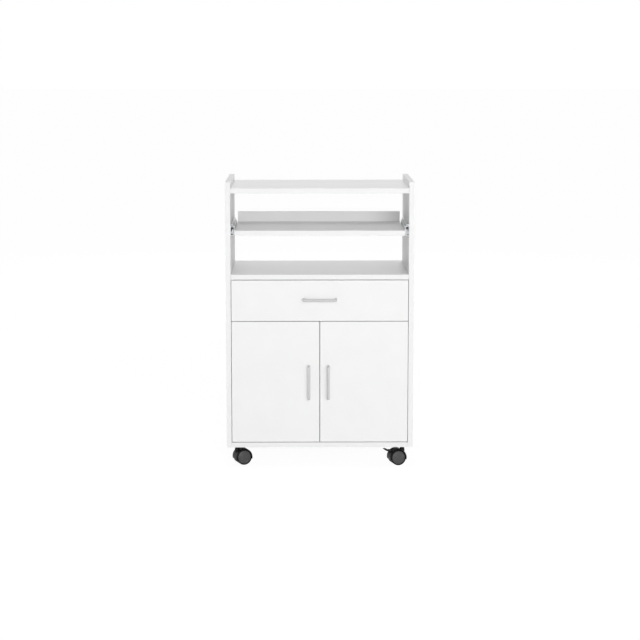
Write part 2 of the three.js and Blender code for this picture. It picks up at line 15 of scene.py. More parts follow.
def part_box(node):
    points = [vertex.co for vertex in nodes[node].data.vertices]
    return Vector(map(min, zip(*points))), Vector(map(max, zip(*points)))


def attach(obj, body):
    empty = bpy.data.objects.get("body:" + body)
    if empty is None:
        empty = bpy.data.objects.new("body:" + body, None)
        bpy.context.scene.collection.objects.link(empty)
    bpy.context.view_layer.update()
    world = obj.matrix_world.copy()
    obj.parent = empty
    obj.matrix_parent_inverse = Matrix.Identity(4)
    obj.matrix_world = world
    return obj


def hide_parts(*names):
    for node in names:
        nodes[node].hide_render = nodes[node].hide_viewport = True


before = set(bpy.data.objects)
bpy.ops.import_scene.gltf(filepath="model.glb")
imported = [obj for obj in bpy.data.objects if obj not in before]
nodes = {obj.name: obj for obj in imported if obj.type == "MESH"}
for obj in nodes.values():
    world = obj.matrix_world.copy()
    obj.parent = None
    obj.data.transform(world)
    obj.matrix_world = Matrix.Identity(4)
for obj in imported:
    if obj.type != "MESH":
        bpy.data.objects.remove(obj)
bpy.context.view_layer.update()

scene = bpy.context.scene
scene.view_settings.view_transform = "Standard"
MM = 0.001

# View: the cart is seen nearly from the front and from a little above its top, with a long
# lens, so the sides hardly show and the shelves show as thin strips.

VIEW_AIM = Vector((0.0025, 0.0, 0.4519))
VIEW_AZIMUTH = math.radians(0.575)
VIEW_ELEVATION = math.radians(8.3)
VIEW_DISTANCE = 6.08
VIEW_LENS = 103.65

looking = Vector(
    (
        math.sin(VIEW_AZIMUTH) * math.cos(VIEW_ELEVATION),
        math.cos(VIEW_AZIMUTH) * math.cos(VIEW_ELEVATION),
        -math.sin(VIEW_ELEVATION),
    )
)
camera = bpy.data.objects.new("camera", bpy.data.cameras.new("camera"))
camera.location = VIEW_AIM - looking * VIEW_DISTANCE
camera.rotation_euler = looking.to_track_quat("-Z", "Y").to_euler()
camera.data.lens = VIEW_LENS
scene.collection.objects.link(camera)
scene.camera = camera

# Side panels: two full-height boards of 16 mm chipboard, faced with white melamine paper and
# edged with 0.8 mm ABS strip at the front, top and back. Inside they are drilled with rows of
# 5 mm holes for the pins of the inner shelf.


def linear(code):
    """An sRGB hex colour as linear red, green, blue and alpha."""
    parts = [int(code[i : i + 2], 16) / 255 for i in (0, 2, 4)]
    curve = [c / 12.92 if c <= 0.04045 else ((c + 0.055) / 1.055) ** 2.4 for c in parts]
    return (*curve, 1.0)


def add(tree, kind, inputs=(), **settings):
    """One node with its settings, and its inputs set to values or linked to sockets."""
    made = tree.nodes.new(kind)
    for name, value in settings.items():
        setattr(made, name, value)
    for name, value in dict(inputs).items():
        if isinstance(value, bpy.types.NodeSocket):
            tree.links.new(value, made.inputs[name])
        else:
            made.inputs[name].default_value = value
    return made


def new_material(name, **sockets):
    """A material with one shader, and the object coordinates for its patterns."""
    made = bpy.data.materials.new(name)
    made.use_nodes = True
    tree = made.node_tree
    tree.nodes.clear()
    place = add(tree, "ShaderNodeTexCoord").outputs["Object"]
    shader = add(tree, "ShaderNodeBsdfPrincipled")
    for socket, value in sockets.items():
        shader.inputs[socket.replace("_", " ")].default_value = value
    add(tree, "ShaderNodeOutputMaterial", {"Surface": shader.outputs["BSDF"]})
    return made, tree, shader, place


def melamine():
    """Melamine-faced board, pressed between finely pebbled plates.

    A satin white whose grain only shows where light grazes it, with a slow unevenness of the
    white from the paper under the resin.
    """
    made, tree, shader, place = new_material("melamine_faced_board")
    cloud = add(tree, "ShaderNodeTexNoise", {"Vector": place, "Scale": 1 / (90 * MM)})
    tone = add(tree, "ShaderNodeMix", {"Factor": cloud.outputs["Fac"]}, data_type="RGBA")
    tone.inputs["A"].default_value = linear("F7F7F7")
    tone.inputs["B"].default_value = linear("F2F2F2")
    tree.links.new(tone.outputs["Result"], shader.inputs["Base Color"])
    # The pebbles are drawn at 1 mm, twice their real size, so that they show at all.
    grain = add(tree, "ShaderNodeTexVoronoi", {"Vector": place, "Scale": 1 / (1.0 * MM)})
    height = {"Height": grain.outputs["Distance"], "Strength": 0.3, "Distance": 0.05 * MM}
    bump = add(tree, "ShaderNodeBump", height)
    tree.links.new(bump.outputs["Normal"], shader.inputs["Normal"])
    gloss = {"Value": grain.outputs["Distance"], "To Min": 0.42, "To Max": 0.52}
    satin = add(tree, "ShaderNodeMapRange", gloss)
    tree.links.new(satin.outputs["Result"], shader.inputs["Roughness"])
    return made


def edge_strip():
    """White ABS strip, glued on hot and trimmed: as satin as the faces and a shade greyer."""
    made, tree, shader, place = new_material(
        "abs_edge_strip", Base_Color=linear("F3F3F3"), Roughness=0.52
    )
    wave = add(tree, "ShaderNodeTexNoise", {"Vector": place, "Scale": 1 / (14 * MM)})
    height = {"Height": wave.outputs["Fac"], "Strength": 0.3, "Distance": 0.08 * MM}
    bump = add(tree, "ShaderNodeBump", height)
    tree.links.new(bump.outputs["Normal"], shader.inputs["Normal"])
    return made


MELAMINE = melamine()
EDGE_STRIP = edge_strip()
STRIP = 0.8 * MM
ARRIS = 0.4 * MM  # rounding of a board's edges


def new_object(name, mesh, *materials):
    """A mesh with its materials as an object at the origin."""
    made = bpy.data.objects.new(name, mesh)
    for material in materials:
        mesh.materials.append(material)
    scene.collection.objects.link(made)
    return made


def closed_mesh(bm, name):
    """Merges the corners, turns the faces outwards and hands over the mesh."""
    bmesh.ops.remove_doubles(bm, verts=bm.verts, dist=1e-6)
    bmesh.ops.recalc_face_normals(bm, faces=bm.faces)
    mesh = bpy.data.meshes.new(name)
    bm.to_mesh(mesh)
    bm.free()
    return mesh


def round_edges(piece, width):
    """A live bevel on the sharp edges."""
    bevel = piece.modifiers.new("edges", "BEVEL")
    bevel.width = width
    bevel.segments = 2
    bevel.angle_limit = math.radians(35)


def plain(piece):
    """Turns a piece with modifiers into a plain mesh."""
    graph = bpy.context.evaluated_depsgraph_get()
    mesh = bpy.data.meshes.new_from_object(piece.evaluated_get(graph))
    piece.modifiers.clear()
    piece.data = mesh


def combine(piece, other, operation="DIFFERENCE"):
    """Cuts another mesh out of a piece, or joins it on, for good."""
    knife = piece.modifiers.new("shape", "BOOLEAN")
    knife.operation = operation
    knife.object = other
    plain(piece)
    bpy.data.objects.remove(other)


def seat(piece, body, slot, *replaced):
    """Puts a finished piece on its body and hides the CAD nodes it stands for; the finish slot
    that it is given is not used.
    """
    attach(piece, body)
    if replaced:
        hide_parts(*replaced)


def board(name, node, strips, bores=None):
    """A board in a node's place, drilled by bores.

    strips names the edges that carry an edge strip, as "-y" or "+z".
    """
    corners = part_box(node)
    levels = []
    for axis in range(3):
        low, high = corners[0][axis], corners[1][axis]
        inner = [low + STRIP] if f"-{'xyz'[axis]}" in strips else []
        inner += [high - STRIP] if f"+{'xyz'[axis]}" in strips else []
        levels.append([low, *inner, high])

    def strip_at(point):
        for axis in range(3):
            low, high = corners[0][axis] + STRIP, corners[1][axis] - STRIP
            if f"-{'xyz'[axis]}" in strips and point[axis] < low:
                return 1
            if f"+{'xyz'[axis]}" in strips and point[axis] > high:
                return 1
        return 0

    bm = bmesh.new()
    for axis in range(3):
        i, j = (axis + 1) % 3, (axis + 2) % 3
        for end in (0, -1):
            for a0, a1 in zip(levels[i], levels[i][1:]):
                for b0, b1 in zip(levels[j], levels[j][1:]):
                    ring = []
                    for a, b in ((a0, b0), (a1, b0), (a1, b1), (a0, b1)):
                        point = Vector()
                        point[i], point[j], point[axis] = a, b, levels[axis][end]
                        ring.append(bm.verts.new(point))
                    face = bm.faces.new(ring)
                    face.material_index = strip_at(face.calc_center_median())
    piece = new_object(name, closed_mesh(bm, name), MELAMINE, EDGE_STRIP)
    if bores:
        combine(piece, bores)
    round_edges(piece, ARRIS)
    return piece


def turned(name, profile, steps=24, loop=False):
    """A shape turned about Z from points of radius and height.

    It closes on the axis, or with loop on its own first ring.
    """
    bm = bmesh.new()
    rings = []
    for radius, height in profile:
        count = steps if radius > 1e-9 else 1
        turns = [2 * math.pi * i / steps for i in range(count)]
        rings.append(
            [bm.verts.new((radius * math.cos(t), radius * math.sin(t), height)) for t in turns]
        )
    pairs = list(zip(rings, rings[1:]))
    if loop:
        pairs.append((rings[-1], rings[0]))
    for lower, upper in pairs:
        for i in range(steps):
            quad = [lower[i % len(lower)], lower[(i + 1) % len(lower)]]
            quad += [upper[(i + 1) % len(upper)], upper[i % len(upper)]]
            face = list(dict.fromkeys(quad))
            if len(face) > 2:
                bm.faces.new(face)
    return closed_mesh(bm, name)


def geometry_tree(name, **inputs):
    """An empty geometry tree with named inputs, and its input node."""
    tree = bpy.data.node_groups.new(name, "GeometryNodeTree")
    tree.interface.new_socket("Geometry", in_out="OUTPUT", socket_type="NodeSocketGeometry")
    tree.interface.new_socket("Spots", in_out="INPUT", socket_type="NodeSocketGeometry")
    for label, kind in inputs.items():
        tree.interface.new_socket(label, in_out="INPUT", socket_type=f"NodeSocket{kind}")
    return tree, add(tree, "NodeGroupInput")


def end_tree(tree, instances, material):
    """Makes the instances real, gives them their material and ends the tree."""
    real = add(tree, "GeometryNodeRealizeInstances", {"Geometry": instances})
    finish = {"Geometry": real.outputs["Geometry"], "Material": material}
    look = add(tree, "GeometryNodeSetMaterial", finish)
    add(tree, "NodeGroupOutput", {"Geometry": look.outputs["Geometry"]})


def grown(name, spots, tree, **values):
    """Runs a geometry tree on a mesh of spots and keeps the result as a plain mesh.

    The parts that it is given are removed.
    """
    piece = new_object(name, spots)
    modifier = piece.modifiers.new("grown", "NODES")
    modifier.node_group = tree
    for socket in tree.interface.items_tree:
        if socket.in_out == "INPUT" and socket.name in values:
            modifier[socket.identifier] = values[socket.name]
    plain(piece)
    for value in values.values():
        if isinstance(value, bpy.types.Object):
            bpy.data.objects.remove(value)
    return piece


def fittings(name, part, spots, material):
    """The same small part on several spots.

    Each spot is a place, and the direction in which the part's own +Z points there.
    """
    places = bpy.data.meshes.new(name)
    places.from_pydata([tuple(place) for place, _ in spots], [], [])
    facing = places.attributes.new("facing", "FLOAT_VECTOR", "POINT")
    facing.data.foreach_set("vector", [c for _, way in spots for c in way])

    tree, given = geometry_tree(f"{name}_tree", Part="Object")
    info = add(tree, "GeometryNodeObjectInfo", {"Object": given.outputs["Part"]})
    named = {"Name": "facing"}
    way = add(tree, "GeometryNodeInputNamedAttribute", named, data_type="FLOAT_VECTOR")
    aimed = {"Vector": way.outputs["Attribute"]}
    turn = add(tree, "FunctionNodeAlignRotationToVector", aimed, axis="Z")
    copies = add(
        tree,
        "GeometryNodeInstanceOnPoints",
        {
            "Points": given.outputs["Spots"],
            "Instance": info.outputs["Geometry"],
            "Rotation": turn.outputs["Rotation"],
        },
    )
    end_tree(tree, copies.outputs["Instances"], material)
    return grown(name, places, tree, Part=new_object(f"{name}_part", part))


HANDS = (("left", -1), ("right", 1))  # each with the way it lies along X
PIN_HOLE = 2.5 * MM  # radius
PIN_HOLE_DEPTH = 9 * MM
PIN_PITCH = 32 * MM
PIN_LEVELS = (-2, -1, 0, 1, 2)
PIN_SETBACK = 50 * MM  # from the inner shelf's front and back edges

pin_spots = {}  # by hand and level: the mouths of the two holes, and the way into the board
for hand, side in HANDS:
    panel_low, panel_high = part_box(f"{hand}_side_panel")
    face = panel_high.x if side < 0 else panel_low.x
    shelf_low, shelf_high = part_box("inner_shelf")
    for level in PIN_LEVELS:
        height = shelf_low.z - PIN_HOLE + level * PIN_PITCH
        pin_spots[hand, level] = [
            (Vector((face, depth, height)), Vector((side, 0, 0)))
            for depth in (shelf_low.y + PIN_SETBACK, shelf_high.y - PIN_SETBACK)
        ]
    drill = turned(
        "pin_drill",
        [(0, -MM), (PIN_HOLE, -MM), (PIN_HOLE, PIN_HOLE_DEPTH), (0, PIN_HOLE_DEPTH)],
        16,
    )
    mouths = [spot for level in PIN_LEVELS for spot in pin_spots[hand, level]]
    bores = fittings(f"{hand}_pin_bores", drill, mouths, MELAMINE)
    panel = board(f"{hand}_side_board", f"{hand}_side_panel", ("-y", "+y", "+z"), bores=bores)
    seat(panel, "cabinet", "white_melamine_board", f"{hand}_side_panel")

# Top shelf, deck and bottom panel: boards between the sides, edged front and back, and drawn
# tight with cam fittings. Each cam is let into the board, under a white pressed-in cap.

for node in ("top_shelf", "deck_panel", "bottom_panel"):
    shelf = board(f"{node}_board", node, ("-y", "+y"))
    seat(shelf, "cabinet", "white_melamine_board", node)

CAP_RADIUS = 8.5 * MM
CAP_HEIGHT = 1.1 * MM
CAP_INSET = 34 * MM  # cam centre from the board's end
CAP_SETBACK = 62 * MM  # and from its front and back edges


def cap_plastic():
    """Moulded white polyethylene: a little duller and greyer than the board round it."""
    made, tree, shader, place = new_material(
        "moulded_white_cap", Base_Color=linear("ECECEA")
    )
    mottle = add(tree, "ShaderNodeTexNoise", {"Vector": place, "Scale": 1 / (1.5 * MM)})
    dull = {"Value": mottle.outputs["Fac"], "To Min": 0.45, "To Max": 0.65}
    rough = add(tree, "ShaderNodeMapRange", dull)
    tree.links.new(rough.outputs["Result"], shader.inputs["Roughness"])
    return made


CAP_PLASTIC = cap_plastic()


def cam_cap():
    """A low dome with a chamfered rim and the small dimple of its mould."""
    return turned(
        "cam_cap",
        [
            (0, 0),
            (CAP_RADIUS, 0),
            (CAP_RADIUS, 0.35 * CAP_HEIGHT),
            (0.92 * CAP_RADIUS, 0.8 * CAP_HEIGHT),
            (0.6 * CAP_RADIUS, CAP_HEIGHT),
            (0.14 * CAP_RADIUS, CAP_HEIGHT),
            (0.1 * CAP_RADIUS, 0.8 * CAP_HEIGHT),
            (0, 0.8 * CAP_HEIGHT),
        ],
        28,
    )


cap_spots = []
for node in ("top_shelf", "deck_panel", "bottom_panel"):
    low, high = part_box(node)
    for across in (low.x + CAP_INSET, high.x - CAP_INSET):
        for depth in (low.y + CAP_SETBACK, high.y - CAP_SETBACK):
            cap_spots.append(((across, depth, low.z), (0, 0, -1)))
caps = fittings("cam_caps", cam_cap(), cap_spots, CAP_PLASTIC)
seat(caps, "cabinet", "white_melamine_board")

# Inner shelf: a board with one edged front, lying loose on four nickel-plated pins. It can be
# moved up or down by the rows of holes in the side panels.

shelf = board("inner_shelf_board", "inner_shelf", ("-y",))
seat(shelf, "cabinet", "white_melamine_board", "inner_shelf")

PIN_RADIUS = 2.4 * MM
PIN_REACH = 7 * MM  # under the shelf, from the side panel


def nickel():
    """Nickel-plated steel, pressed and barrel-plated: bright, warm and softly mottled."""
    made, tree, shader, place = new_material(
        "nickel_plated_steel", Base_Color=linear("D2D0CC"), Metallic=1.0
    )
    mottle = add(tree, "ShaderNodeTexNoise", {"Vector": place, "Scale": 1 / (2 * MM)})
    sheen = {"Value": mottle.outputs["Fac"], "To Min": 0.2, "To Max": 0.34}
    rough = add(tree, "ShaderNodeMapRange", sheen)
    tree.links.new(rough.outputs["Result"], shader.inputs["Roughness"])
    return made


NICKEL = nickel()


def shelf_pin():
    """A plain peg: one end in its hole, and a chamfered stub under the shelf."""
    return turned(
        "shelf_pin",
        [
            (0, -PIN_REACH),
            (0.8 * PIN_RADIUS, -PIN_REACH),
            (PIN_RADIUS, -0.93 * PIN_REACH),
            (PIN_RADIUS, -1.1 * MM),
            (PIN_RADIUS, 0.9 * PIN_HOLE_DEPTH),
            (0, 0.9 * PIN_HOLE_DEPTH),
        ],
        20,
    )


pins = pin_spots["left", 0] + pin_spots["right", 0]
seat(fittings("shelf_pins", shelf_pin(), pins, NICKEL), "cabinet", "zinc_plated_steel")

# Back panel: 3 mm hardboard, lacquered white, with the pressed screen pattern on its rear. It
# is nailed to the rear edges of the sides, the deck and the bottom panel.

SCREEN_PITCH = 2.4 * MM
FINE_EDGE = 0.3 * MM  # rounding of thin sheet, steel and plastic
NAIL_SPACING = 92 * MM
NAIL_HEAD = 2.6 * MM  # radius
NAIL_INSET = 7 * MM  # from the sheet's edges


def hardboard(name, screen):
    """Lacquered hardboard: matt and slightly greyer than melamine.

    The smooth side shows the fibres as faint long clouds. The rear keeps the print of the wire
    screen on which the board was pressed.
    """
    made, tree, shader, place = new_material(name)
    cloud = {"Vector": place, "Scale": 1 / (25 * MM), "Detail": 6}
    fibres = add(tree, "ShaderNodeTexNoise", cloud)
    tone = add(tree, "ShaderNodeMix", {"Factor": fibres.outputs["Fac"]}, data_type="RGBA")
    tone.inputs["A"].default_value = linear("F1F1EE")
    tone.inputs["B"].default_value = linear("E6E6E2")
    tree.links.new(tone.outputs["Result"], shader.inputs["Base Color"])
    shader.inputs["Roughness"].default_value = 0.62
    if screen:
        # Two crossed waves, drawn wider than the real 1.5 mm mesh so that they show. The
        # texture goes through 20 radians in each unit of its scale.
        pitch = {"Vector": place, "Scale": 2 * math.pi / SCREEN_PITCH / 20}
        warp = add(tree, "ShaderNodeTexWave", pitch, bands_direction="X", wave_profile="SIN")
        weft = add(tree, "ShaderNodeTexWave", pitch, bands_direction="Z", wave_profile="SIN")
        mesh = add(tree, "ShaderNodeMath", operation="MULTIPLY")
        tree.links.new(warp.outputs["Fac"], mesh.inputs[0])
        tree.links.new(weft.outputs["Fac"], mesh.inputs[1])
        height = {"Height": mesh.outputs["Value"], "Strength": 0.6, "Distance": 0.15 * MM}
    else:
        height = {"Height": fibres.outputs["Fac"], "Strength": 0.3, "Distance": 0.1 * MM}
    bump = add(tree, "ShaderNodeBump", height)
    tree.links.new(bump.outputs["Normal"], shader.inputs["Normal"])
    return made


HARDBOARD = hardboard("lacquered_hardboard", False)
HARDBOARD_REAR = hardboard("screen_pressed_hardboard", True)


def hardboard_sheet(name, node, body):
    """A sheet in a node's place, with its screened side to the back or to the floor."""
    low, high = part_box(node)
    bm = bmesh.new()
    bmesh.ops.create_cube(bm, size=1)
    for vert in bm.verts:
        vert.co = Vector(low[k] if vert.co[k] < 0 else high[k] for k in range(3))
    thin = min(range(3), key=lambda k: high[k] - low[k])
    for face in bm.faces:
        middle = face.calc_center_median()[thin]
        rear = middle > high[thin] - 1e-6 if thin == 1 else middle < low[thin] + 1e-6
        face.material_index = int(rear)
    sheet = new_object(name, closed_mesh(bm, name), HARDBOARD, HARDBOARD_REAR)
    round_edges(sheet, FINE_EDGE)
    seat(sheet, body, "white_hardboard", node)


hardboard_sheet("back_sheet", "back_panel", "cabinet")


def zinc(name, code, low_gloss, high_gloss):
    """Cold-rolled steel with bright zinc plating: cool, with the blotches of its crystals."""
    made, tree, shader, place = new_material(name, Base_Color=linear(code), Metallic=1.0)
    grain = add(tree, "ShaderNodeTexVoronoi", {"Vector": place, "Scale": 1 / (3 * MM)})
    gloss = {"Value": grain.outputs["Color"], "To Min": low_gloss, "To Max": high_gloss}
    rough = add(tree, "ShaderNodeMapRange", gloss)
    tree.links.new(rough.outputs["Result"], shader.inputs["Roughness"])
    return made


ZINC = zinc("bright_zinc_steel", "C2C4C6", 0.3, 0.46)
# The same zinc for the front tabs, duller and a shade darker. The darker colour is painted
# shade, to keep down the front lamp's highlight on the tabs.
SHADED_TAB_ZINC = zinc("rubbed_zinc_steel", "ACAEB0", 0.5, 0.64)


def nail_line():
    """Nails all round a rectangle that stands in the XZ plane, with named sizes."""
    tree, given = geometry_tree(
        "nail_line", Width="Float", Height="Float", Spacing="Float", Nail="Object"
    )
    sizes = {"Width": given.outputs["Width"], "Height": given.outputs["Height"]}
    outline = add(tree, "GeometryNodeCurvePrimitiveQuadrilateral", sizes)
    even = add(
        tree,
        "GeometryNodeResampleCurve",
        {"Curve": outline.outputs["Curve"], "Length": given.outputs["Spacing"]},
        mode="LENGTH",
    )
    info = add(tree, "GeometryNodeObjectInfo", {"Object": given.outputs["Nail"]})
    copies = add(
        tree,
        "GeometryNodeInstanceOnPoints",
        {"Points": even.outputs["Curve"], "Instance": info.outputs["Geometry"]},
    )
    upright = add(
        tree,
        "GeometryNodeTransform",
        {"Geometry": copies.outputs["Instances"], "Rotation": (-math.pi / 2, 0, 0)},
    )
    end_tree(tree, upright.outputs["Geometry"], ZINC)
    return tree


low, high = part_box("back_panel")
nail = turned(
    "nail",
    [
        (0, -0.3 * MM),
        (NAIL_HEAD, -0.3 * MM),
        (NAIL_HEAD, 0.3 * MM),
        (0.7 * NAIL_HEAD, 0.6 * MM),
        (0, 0.7 * MM),
    ],
    16,
)
nails = grown(
    "back_nails",
    bpy.data.meshes.new("back_nails"),
    nail_line(),
    Width=high.x - low.x - 2 * NAIL_INSET,
    Height=high.z - low.z - 2 * NAIL_INSET,
    Spacing=NAIL_SPACING,
    Nail=new_object("nail", nail),
)
nails.data.transform(Matrix.Translation((0, high.y, (low.z + high.z) / 2)))
seat(nails, "cabinet", "zinc_plated_steel")

# Slides: each is a folded rail screwed to a side panel and a folded runner on the shelf or the
# drawer, of zinc-plated steel, with a strip of steel balls running between them. A tab bent
# from the rail's front holds a black moulded catch above it and a bumper below.


def dress(node, material, width):
    """A CAD node kept as it is, with its seams welded, edges rounded and its real finish."""
    kept = nodes[node]
    kept.data.materials.clear()
    kept.data.materials.append(material)
    kept.modifiers.new("seams", "WELD").merge_threshold = 0.005 * MM
    round_edges(kept, width)


def in_mm(points):
    """Pairs given in millimetres, in metres."""
    return [(a * MM, b * MM) for a, b in points]


def skin(name, rings):
    """A closed mesh through rings of points, with a face over each end."""
    bm = bmesh.new()
    rings = [[bm.verts.new(point) for point in ring] for ring in rings]
    for first, second in zip(rings, rings[1:]):
        for i in range(len(first)):
            j = (i + 1) % len(first)
            bm.faces.new((first[i], first[j], second[j], second[i]))
    bm.faces.new(rings[0])
    bm.faces.new(rings[-1])
    return closed_mesh(bm, name)


def prism(name, outline, low, high):
    """An outline of x and z, pushed along Y."""
    return skin(name, [[(x, y, z) for x, z in outline] for y in (low, high)])


def moulded(name, code, low_gloss, high_gloss, grit, shine):
    """Injection-moulded plastic from a finely sparked mould: satin, with a tight grain."""
    made, tree, shader, place = new_material(
        name, Base_Color=linear(code), Specular_IOR_Level=shine
    )
    spark = add(tree, "ShaderNodeTexNoise", {"Vector": place, "Scale": 1 / grit, "Detail": 3})
    gloss = {"Value": spark.outputs["Fac"], "To Min": low_gloss, "To Max": high_gloss}
    rough = add(tree, "ShaderNodeMapRange", gloss)
    tree.links.new(rough.outputs["Result"], shader.inputs["Roughness"])
    height = {"Height": spark.outputs["Fac"], "Strength": 0.25, "Distance": 0.05 * MM}
    bump = add(tree, "ShaderNodeBump", height)
    tree.links.new(bump.outputs["Normal"], shader.inputs["Normal"])
    return made


BLACK_NYLON = moulded("moulded_black_nylon", "0F0F10", 0.34, 0.48, 0.8 * MM, 0.12)

RAIL_SEAM = 0.25 * MM  # gap in the model between a fitting and the board behind it
BALL_RADIUS = 2.15 * MM
BALL_PITCH = 9.5 * MM
BALLS = 12
BALL_LEVEL = 13.75 * MM  # ball centres above and below the slide's middle
BALL_OUT = 5.5 * MM  # ball centres from the side panel
STRIP_SHEET = 0.6 * MM
STRIP_WEB = 2.3 * MM  # the ball strip's back and its flanges' edges from the side panel
STRIP_LIP = 7.4 * MM
STRIP_DROP = 0.35 * MM  # its flanges' inner faces from the level of the balls
STRIP_END = 6 * MM  # its ends past the outer balls

TAB_SETBACK = 0.5 * MM  # of tab, catch and bumper from the rail's front end
TAB_SHEET = 1 * MM
BUMPER_DEPTH = 7 * MM  # back of catch and bumper from there
# Outlines in millimetres from the side panel and from the slide's middle.
TAB = ((1.6, -9), (1.6, -5), (5, -5), (5, 2.5), (10, 2.5), (10, -9))
CATCH = ((1.9, -1.5), (1.9, 9.4), (8.5, 9.4), (8.5, 6), (4.2, 6), (4.2, 3), (3, 3), (3, -1.5))
BUMPER = ((1.9, -15.6), (1.9, -11.9), (4, -11.9), (4, -15.6))


def ball_rows():
    """A row of balls from every spot towards the back, with named sizes."""
    tree, given = geometry_tree("ball_rows", Balls="Int", Pitch="Float", Radius="Float")
    step = add(tree, "ShaderNodeCombineXYZ", {"Y": given.outputs["Pitch"]})
    line = add(
        tree,
        "GeometryNodeMeshLine",
        {"Count": given.outputs["Balls"], "Offset": step.outputs["Vector"]},
    )
    rows = add(
        tree,
        "GeometryNodeInstanceOnPoints",
        {"Points": given.outputs["Spots"], "Instance": line.outputs["Mesh"]},
    )
    places = add(tree, "GeometryNodeRealizeInstances", {"Geometry": rows.outputs["Instances"]})
    ball = add(
        tree,
        "GeometryNodeMeshUVSphere",
        {"Segments": 12, "Rings": 8, "Radius": given.outputs["Radius"]},
    )
    copies = add(
        tree,
        "GeometryNodeInstanceOnPoints",
        {"Points": places.outputs["Geometry"], "Instance": ball.outputs["Mesh"]},
    )
    end_tree(tree, copies.outputs["Instances"], NICKEL)
    return tree


BALL_ROWS = ball_rows()


def folded(points, side, edge, middle):
    """An outline given from a side panel's face and the slide's middle, as x and z."""
    return [(edge - side * u, middle + z) for u, z in points]


def slide_details(name):
    """The ball strips, balls, front tabs, catches and bumpers of one pair of slides."""
    rows = bpy.data.meshes.new(f"{name}_slide_balls")
    starts = []
    for hand, side in HANDS:
        low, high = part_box(f"{name}_{hand}_slide_rail")
        for part in ("rail", "runner"):
            dress(f"{name}_{hand}_slide_{part}", ZINC, FINE_EDGE)
        edge = (low.x if side < 0 else high.x) + side * RAIL_SEAM
        middle = (low.z + high.z) / 2
        first = low.y + BUMPER_DEPTH + STRIP_END
        starts += [
            (edge - side * BALL_OUT, first, middle + way * BALL_LEVEL) for way in (-1, 1)
        ]
        inner = BALL_LEVEL - STRIP_DROP
        outer = inner + STRIP_SHEET
        strip = [
            (STRIP_WEB, -outer),
            (STRIP_LIP, -outer),
            (STRIP_LIP, -inner),
            (STRIP_WEB + STRIP_SHEET, -inner),
            (STRIP_WEB + STRIP_SHEET, inner),
            (STRIP_LIP, inner),
            (STRIP_LIP, outer),
            (STRIP_WEB, outer),
        ]
        last = first + (BALLS - 1) * BALL_PITCH
        outline = folded(strip, side, edge, middle)
        mesh = prism(f"{name}_{hand}_ball_strip", outline, first - STRIP_END, last + STRIP_END)
        seat(new_object(mesh.name, mesh, ZINC), "cabinet", "zinc_plated_steel")

        front = low.y + TAB_SETBACK
        outline = folded(in_mm(TAB), side, edge, middle)
        mesh = prism(f"{name}_{hand}_front_tab", outline, front, front + TAB_SHEET)
        seat(new_object(mesh.name, mesh, SHADED_TAB_ZINC), "cabinet", "zinc_plated_steel")

        for part, section in (("catch", CATCH), ("bumper", BUMPER)):
            outline = folded(in_mm(section), side, edge, middle)
            mesh = prism(f"{name}_{hand}_{part}", outline, front, low.y + BUMPER_DEPTH)
            moulding = new_object(mesh.name, mesh, BLACK_NYLON)
            round_edges(moulding, FINE_EDGE)
            seat(moulding, "cabinet", "black_plastic")
    rows.from_pydata(starts, [], [])
    sizes = {"Balls": BALLS, "Pitch": BALL_PITCH, "Radius": BALL_RADIUS}
    balls = grown(f"{name}_slide_balls", rows, BALL_ROWS, **sizes)
    seat(balls, "cabinet", "zinc_plated_steel")


slide_details("pullout")
slide_details("drawer")

# Pull-out shelf: a board on two slides, with an upright strip of the same board screwed behind
# it, so that nothing is pushed off at the back.

shelf = board("pullout_shelf_board", "pullout_shelf", ("-y",))
seat(shelf, "pullout", "white_melamine_board", "pullout_shelf")
lip = board("pullout_lip_board", "pullout_rear_lip", ("+z",))
seat(lip, "pullout", "white_melamine_board", "pullout_rear_lip")

SCREW_HEAD = 3.6 * MM  # radius
SCREW_RISE = 1.9 * MM
SCREW_SHANK = 2 * MM
LIP_SCREWS = 4
LIP_SCREW_LEVEL = 8 * MM  # above the lip's lower edge


def pan_screw():
    """A pan head with a cross recess, and a short shank below it."""
    head = turned(
        "pan_screw",
        [
            (0, -SCREW_SHANK),
            (0.45 * SCREW_HEAD, -SCREW_SHANK),
            (0.45 * SCREW_HEAD, 0),
            (0.96 * SCREW_HEAD, 0),
            (SCREW_HEAD, 0.25 * SCREW_RISE),
            (0.92 * SCREW_HEAD, 0.62 * SCREW_RISE),
            (0.7 * SCREW_HEAD, 0.9 * SCREW_RISE),
            (0.4 * SCREW_HEAD, SCREW_RISE),
            (0, SCREW_RISE),
        ],
        20,
    )
    screw = new_object("pan_screw", head)
    for across in ((0.5, 0.13), (0.13, 0.5)):
        bm = bmesh.new()
        bmesh.ops.create_cube(bm, size=2)
        depth = 0.55 * SCREW_RISE
        bmesh.ops.scale(bm, verts=bm.verts, vec=(*[a * SCREW_HEAD for a in across], depth))
        bmesh.ops.translate(bm, verts=bm.verts, vec=(0, 0, SCREW_RISE))
        combine(screw, new_object("recess", closed_mesh(bm, "recess")))
    mesh = screw.data.copy()
    bpy.data.objects.remove(screw)
    return mesh


low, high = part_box("pullout_rear_lip")
spots = []
for i in range(LIP_SCREWS):
    across = low.x + (i + 0.5) * (high.x - low.x) / LIP_SCREWS
    spots.append(((across, high.y, low.z + LIP_SCREW_LEVEL), (0, 1, 0)))
seat(fittings("lip_screws", pan_screw(), spots, ZINC), "pullout", "zinc_plated_steel")

# Drawer: a box of 12 mm board with a hardboard bottom slid into its grooves, behind a front
# that is edged all round. The cams that hold the front are capped inside the box.

front = board("drawer_front_board", "drawer_front", ("-x", "+x", "-z", "+z"))
seat(front, "drawer", "white_melamine_board", "drawer_front")
for node in ("drawer_left_side", "drawer_right_side", "drawer_back"):
    dress(node, MELAMINE, ARRIS)
hardboard_sheet("drawer_bottom_sheet", "drawer_bottom", "drawer")

